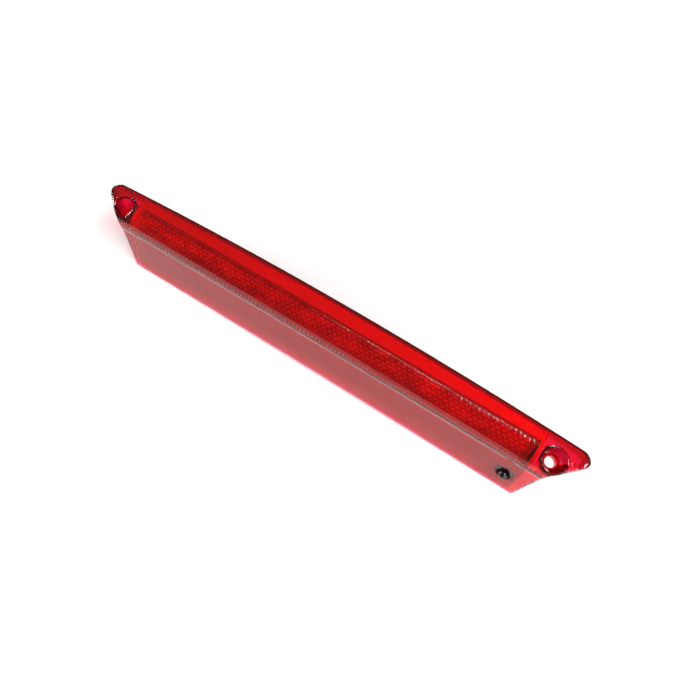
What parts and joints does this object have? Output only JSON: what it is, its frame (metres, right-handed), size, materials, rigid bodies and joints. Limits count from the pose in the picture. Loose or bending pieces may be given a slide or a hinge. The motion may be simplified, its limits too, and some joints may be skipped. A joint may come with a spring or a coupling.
{
  "type": "third brake light",
  "caption": "Long bowed red lamp with a ribbed lens, a row of LEDs behind an optic strip, a recessed screw ear at each end and an aimable washer jet in its underside.",
  "frame": {"origin": "centre of the bounding box's bottom face, on the rear face of the foam seal", "axes": "+X along the lamp towards the washer jet, +Y towards its top edge, +Z out of the lens along the mounting screws"},
  "size_m": [0.366, 0.04, 0.051],
  "materials": {
    "lens_red": "polished transparent red",
    "optic_red": "textured transparent red",
    "housing_white": "fine moulded texture",
    "foam_black": "closed-cell foam",
    "mirror_coating": "vacuum metallised",
    "board_white": "solder mask",
    "led_cream": "moulded resin",
    "chip_black": "moulded epoxy",
    "black_plastic": "smooth",
    "rubber_black": "matt",
    "tin_plate": "bright tin",
    "steel_zinc": "zinc plated"
  },
  "bodies": {
    "lamp": {"lens": "lens_red", "rear_housing": "housing_white", "foam_seal": "foam_black", "vent_cap": "black_plastic", "optic_strip": "optic_red", "reflector": "mirror_coating", "led_board": "board_white", "led_1": "led_cream", "led_2": "led_cream", "led_3": "led_cream", "led_4": "led_cream", "led_5": "led_cream", "led_6": "led_cream", "led_7": "led_cream", "led_8": "led_cream", "led_9": "led_cream", "led_10": "led_cream", "led_11": "led_cream", "led_12": "led_cream", "resistor_1": "chip_black", "resistor_2": "chip_black", "resistor_3": "chip_black", "resistor_4": "chip_black", "diode": "chip_black", "board_screw_1": "steel_zinc", "board_screw_2": "steel_zinc", "board_screw_3": "steel_zinc", "connector_socket": "black_plastic", "terminal_1": "tin_plate", "terminal_2": "tin_plate", "jet_body": "black_plastic", "jet_grommet": "rubber_black"},
    "collar": {"jet_collar": "black_plastic"},
    "ball": {"jet_ball": "black_plastic"}
  },
  "joints": [
    {"name": "jet_pan", "type": "hinge", "parent": "lamp", "child": "collar", "pos_m": [0.1468, -0.01425, 0.0162], "axis": [0, -0.9419, 0.3359], "range_deg": [-90, 90]},
    {"name": "jet_tilt", "type": "hinge", "parent": "collar", "child": "ball", "pos_m": [0.1468, -0.01425, 0.0162], "axis": [1, 0, 0], "range_deg": [-15, 15]}
  ]
}
